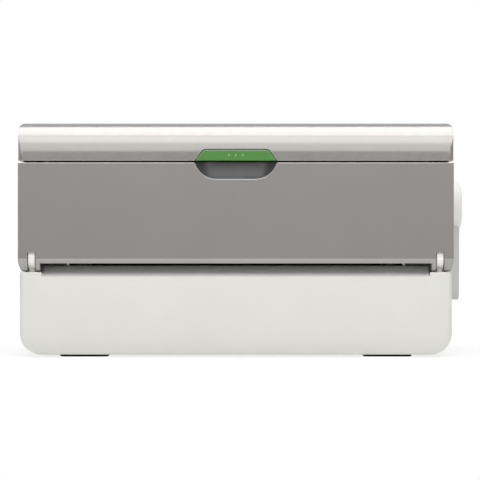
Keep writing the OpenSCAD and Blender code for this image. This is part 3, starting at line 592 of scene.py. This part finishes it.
class MACHINE_OT_housing(Operator):
    """Dress the white base moulding, its feet and screws, and the tray's hinges"""

    bl_idname = "machine.housing"
    bl_label = "Housing"

    def execute(self, context):
        edges = context.scene.machine_edges
        dress("base_housing", edges.shell, edges.steps)
        dress("rubber_feet", edges.button, edges.steps)
        dress("cover_screws", edges.small, edges.steps)
        dress("hinge_pins", edges.small, edges.steps)
        low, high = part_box("hinge_pins")
        axis = (low + high) / 2
        sleeves = []
        for inner, outer in ((SLEEVE_INNER, SLEEVE_OUTER), (-SLEEVE_OUTER, -SLEEVE_INNER)):
            sleeves.append(knuckle_sleeve(inner, outer, axis.z, axis.y))
        # The sleeves take the hub's paler white: painted light over the knuckles' shaded undersides.
        piece = add_mesh("hinge_sleeves", *join_parts(sleeves), "hub_white", "housing", "shell_white")
        round_edges(piece, edges.gear, edges.steps)
        return {"FINISHED"}


class MACHINE_OT_cover(Operator):
    """Dress the silver top cover"""

    bl_idname = "machine.cover"
    bl_label = "Top cover"

    def execute(self, context):
        edges = context.scene.machine_edges
        dress("top_cover", edges.shell, edges.steps)
        return {"FINISHED"}


class MACHINE_OT_tray(Operator):
    """Dress the feed tray and its liner, and scoop its finger cup"""

    bl_idname = "machine.tray"
    bl_label = "Feed tray"

    def execute(self, context):
        edges = context.scene.machine_edges
        dress("feed_tray", edges.shell, edges.steps)
        dress("tray_liner", edges.small, edges.steps)
        # The scoop takes the finger cup's dark colour, which is painted shade.
        scoop = add_mesh("finger_scoop", *finger_scoop(), "well_dark", "tray", "well_dark")
        join_points(scoop, "join ends")
        skin = scoop.modifiers.new("cup wall", "SOLIDIFY")
        skin.thickness = CUP_SKIN
        skin.offset = -1.0
        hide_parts("finger_cup")
        return {"FINISHED"}


class MACHINE_OT_release(Operator):
    """Dress the release button, its springs, the latch lever and what carries them"""

    bl_idname = "machine.release"
    bl_label = "Release latch"

    def execute(self, context):
        edges = context.scene.machine_edges
        dress("release_button", edges.button, edges.steps)
        dress("button_dots", edges.dot, edges.steps)
        for node in ("latch_lever", "latch_bracket", "latch_pin"):
            dress(node, edges.small, edges.steps)
        low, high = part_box("button_springs")
        reach = (high.z - low.z) / 2
        level = (high.z + low.z) / 2
        wires = []
        for x in (low.x + reach, high.x - reach):
            foot, head = Vector((x, low.y, level)), Vector((x, high.y, level))
            wires.append(coil(foot, head, reach - BUTTON_WIRE, BUTTON_WIRE, BUTTON_TURNS))
        springs = add_mesh("button_return_springs", *join_parts(wires), "steel", "housing", "steel")
        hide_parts("button_springs")
        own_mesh(springs)
        return {"FINISHED"}


class MACHINE_OT_crank(Operator):
    """Dress the crank and its fold-out handle"""

    bl_idname = "machine.crank"
    bl_label = "Crank"

    def execute(self, context):
        edges = context.scene.machine_edges
        dress("crank_arm", edges.button, edges.steps)
        # The hub takes a paler white than the base moulding: painted light.
        dress("crank_hub", edges.small, edges.steps, "hub_white")
        for node in ("crank_shaft", "crank_screw", "crank_bushes", "handle_pin", "handle_stem"):
            dress(node, edges.small, edges.steps)
        dress("handle_grip", edges.button, edges.steps)
        return {"FINISHED"}


class MACHINE_OT_drive(Operator):
    """Dress the side plates, rollers, gears and pressure springs"""

    bl_idname = "machine.drive"
    bl_label = "Rollers and gears"

    def execute(self, context):
        edges = context.scene.machine_edges
        for level in ("upper", "lower"):
            dress(f"{level}_roller_shaft", edges.small, edges.steps)
            dress(f"{level}_roller_sleeve", edges.small, edges.steps)
            dress(f"{level}_roller_gear", edges.gear, TOOTH_STEPS)
        dress("crank_gear", edges.gear, TOOTH_STEPS)
        for side in ("left", "right"):
            dress(f"{side}_side_frame", edges.gear, edges.steps)
            dress(f"{side}_gear_cover", edges.small, edges.steps)
        for node in ("frame_tie_bars", "frame_screws", "lower_roller_bushes", "upper_roller_blocks"):
            dress(node, edges.small, edges.steps)
        low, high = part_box("pressure_springs")
        reach = (high.y - low.y) / 2
        depth = (high.y + low.y) / 2
        wires = []
        for x in (low.x + reach, high.x - reach):
            foot, head = Vector((x, depth, low.z)), Vector((x, depth, high.z))
            wires.append(coil(foot, head, reach - PRESSURE_WIRE, PRESSURE_WIRE, PRESSURE_TURNS))
        springs = add_mesh("roller_pressure_springs", *join_parts(wires), "steel", "housing", "steel")
        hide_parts("pressure_springs")
        return {"FINISHED"}


class MACHINE_OT_cartridge(Operator):
    """Dress the film cartridge and its two rolls"""

    bl_idname = "machine.cartridge"
    bl_label = "Cartridge"

    def execute(self, context):
        edges = context.scene.machine_edges
        for piece in ("left_end", "right_end", "feed_plate", "guards"):
            dress(f"cartridge_{piece}", edges.small, edges.steps)
        for level, finish_name in (("upper", "film_clear"), ("lower", "lower_film")):
            dress(f"{level}_film_roll", edges.small, edges.steps, finish_name)
            dress(f"{level}_roll_core", edges.small, edges.steps)
        return {"FINISHED"}


class MACHINE_OT_cutter(Operator):
    """Dress the exit chute, the cutter and its rail"""

    bl_idname = "machine.cutter"
    bl_label = "Cutter"

    def execute(self, context):
        edges = context.scene.machine_edges
        dress("cutter_slider", edges.button, edges.steps)
        for node in ("exit_chute", "cutter_rail", "rail_brackets"):
            dress(node, edges.small, edges.steps)
        dress("cutter_blade", edges.gear, edges.steps)
        return {"FINISHED"}


def sees_backdrop(nodes, links):
    """1 for the rays that should meet a white background."""
    path = nodes.new("ShaderNodeLightPath")
    return combine(nodes, links, "MAXIMUM", [path.outputs[ray] for ray in BACKDROP_RAYS])


def make_room(scene, ambient):
    """A white background that lights the machine only faintly."""
    world = bpy.data.worlds.new("white room")
    scene.world = world
    world.use_nodes = True
    nodes, links = world.node_tree.nodes, world.node_tree.links
    room = nodes["Background"]
    room.inputs["Color"].default_value = WHITE
    level = remap(nodes, links, sees_backdrop(nodes, links), 0.0, 1.0, ambient, 1.0)
    links.new(level.outputs["Result"], room.inputs["Strength"])


def floor_finish():
    """A pale matt grey around the machine that fades to white further out."""
    material, nodes, links, shader = new_material("pale floor")
    shader.inputs["Base Color"].default_value = FLOOR_GREY
    shader.inputs["Roughness"].default_value = FLOOR_ROUGHNESS
    glow = nodes.new("ShaderNodeEmission")
    glow.inputs["Color"].default_value = WHITE
    place = nodes.new("ShaderNodeTexCoord")
    away = nodes.new("ShaderNodeVectorMath")
    away.operation = "LENGTH"
    links.new(place.outputs["Object"], away.inputs[0])
    fade = remap(nodes, links, away.outputs["Value"], FADE_FROM, FADE_FULL, FADE_LEAST, 1.0)
    fade.interpolation_type = "SMOOTHSTEP"
    share = combine(nodes, links, "MULTIPLY", [sees_backdrop(nodes, links), fade.outputs["Result"]])
    both = nodes.new("ShaderNodeMixShader")
    links.new(share, both.inputs["Fac"])
    links.new(shader.outputs["BSDF"], both.inputs[1])
    links.new(glow.outputs["Emission"], both.inputs[2])
    links.new(both.outputs["Shader"], nodes["Material Output"].inputs["Surface"])
    return material


def make_floor(scene, reach=FLOOR_REACH):
    """The table under the machine."""
    corners = [(-reach, -reach, 0), (reach, -reach, 0), (reach, reach, 0), (-reach, reach, 0)]
    mesh = bpy.data.meshes.new("floor")
    mesh.from_pydata(corners, [], [(0, 1, 2, 3)])
    mesh.materials.append(floor_finish())
    floor = bpy.data.objects.new("floor", mesh)
    scene.collection.objects.link(floor)


def add_lamp(scene, name, watts, size, place, aim):
    """A soft rectangular lamp that the camera doesn't see."""
    lamp = bpy.data.lights.new(name, "AREA")
    lamp.energy = watts
    lamp.shape = "RECTANGLE"
    lamp.size, lamp.size_y = size
    holder = bpy.data.objects.new(name, lamp)
    holder.location = place
    x, y, z = [end - start for start, end in zip(place, aim)]
    holder.rotation_euler = (math.atan2(math.hypot(x, y), -z), 0.0, math.atan2(-x, y))
    holder.visible_camera = False
    scene.collection.objects.link(holder)


def add_camera(scene, stage):
    """A level camera straight in front of the tray."""
    camera = bpy.data.cameras.new("camera")
    camera.sensor_width = stage.sensor
    camera.lens = stage.sensor * stage.distance / (stage.mm_per_px * MM * stage.picture)
    holder = bpy.data.objects.new("camera", camera)
    holder.location = (stage.aim_x, tray_low.y - stage.distance, stage.aim_z)
    holder.rotation_euler = (math.radians(90.0), 0.0, 0.0)
    scene.collection.objects.link(holder)
    scene.camera = holder


class MACHINE_OT_stage(Operator):
    """Set the room, the floor, the light and the camera"""

    bl_idname = "machine.stage"
    bl_label = "Stage"

    def execute(self, context):
        scene = context.scene
        stage = scene.machine_stage
        scene.view_settings.view_transform = "Standard"
        make_room(scene, stage.ambient)
        make_floor(scene)
        add_lamp(scene, "overhead softbox", stage.softbox, *SOFTBOX)
        add_lamp(scene, "front panel", stage.fill, *FRONT_PANEL)
        add_lamp(scene, "upper panel", stage.upper, *UPPER_PANEL)
        add_lamp(scene, "left panel", stage.side, *LEFT_PANEL)
        add_lamp(scene, "right panel", stage.side, *RIGHT_PANEL)
        add_lamp(scene, "table bounce", stage.bounce, *TABLE_BOUNCE)
        add_camera(scene, stage)
        return {"FINISHED"}


STEPS = (
    MACHINE_OT_housing,
    MACHINE_OT_cover,
    MACHINE_OT_tray,
    MACHINE_OT_release,
    MACHINE_OT_crank,
    MACHINE_OT_drive,
    MACHINE_OT_cartridge,
    MACHINE_OT_cutter,
    MACHINE_OT_stage,
)


class MACHINE_PT_sidebar(Panel):
    """Lists the steps that dress the machine."""

    bl_idname = "MACHINE_PT_sidebar"
    bl_label = "Film cartridge machine"
    bl_space_type = "VIEW_3D"
    bl_region_type = "UI"
    bl_category = "Machine"

    def draw(self, context):
        for step in STEPS:
            self.layout.operator(step.bl_idname)


GROUPS = {
    "machine_colours": MachineColours,
    "machine_edges": MachineEdges,
    "machine_stage": MachineStage,
}


def register():
    for group in GROUPS.values():
        bpy.utils.register_class(group)
    for name, group in GROUPS.items():
        setattr(bpy.types.Scene, name, PointerProperty(type=group))
    for step in (*STEPS, MACHINE_PT_sidebar):
        bpy.utils.register_class(step)


def unregister():
    for step in reversed((*STEPS, MACHINE_PT_sidebar)):
        bpy.utils.unregister_class(step)
    for name, group in GROUPS.items():
        delattr(bpy.types.Scene, name)
        bpy.utils.unregister_class(group)


def main():
    register()
    FINISHES.update(make_finishes(bpy.context.scene.machine_colours))
    for step in STEPS:
        group, name = step.bl_idname.split(".")
        getattr(getattr(bpy.ops, group), name)()


if __name__ == "__main__":
    main()
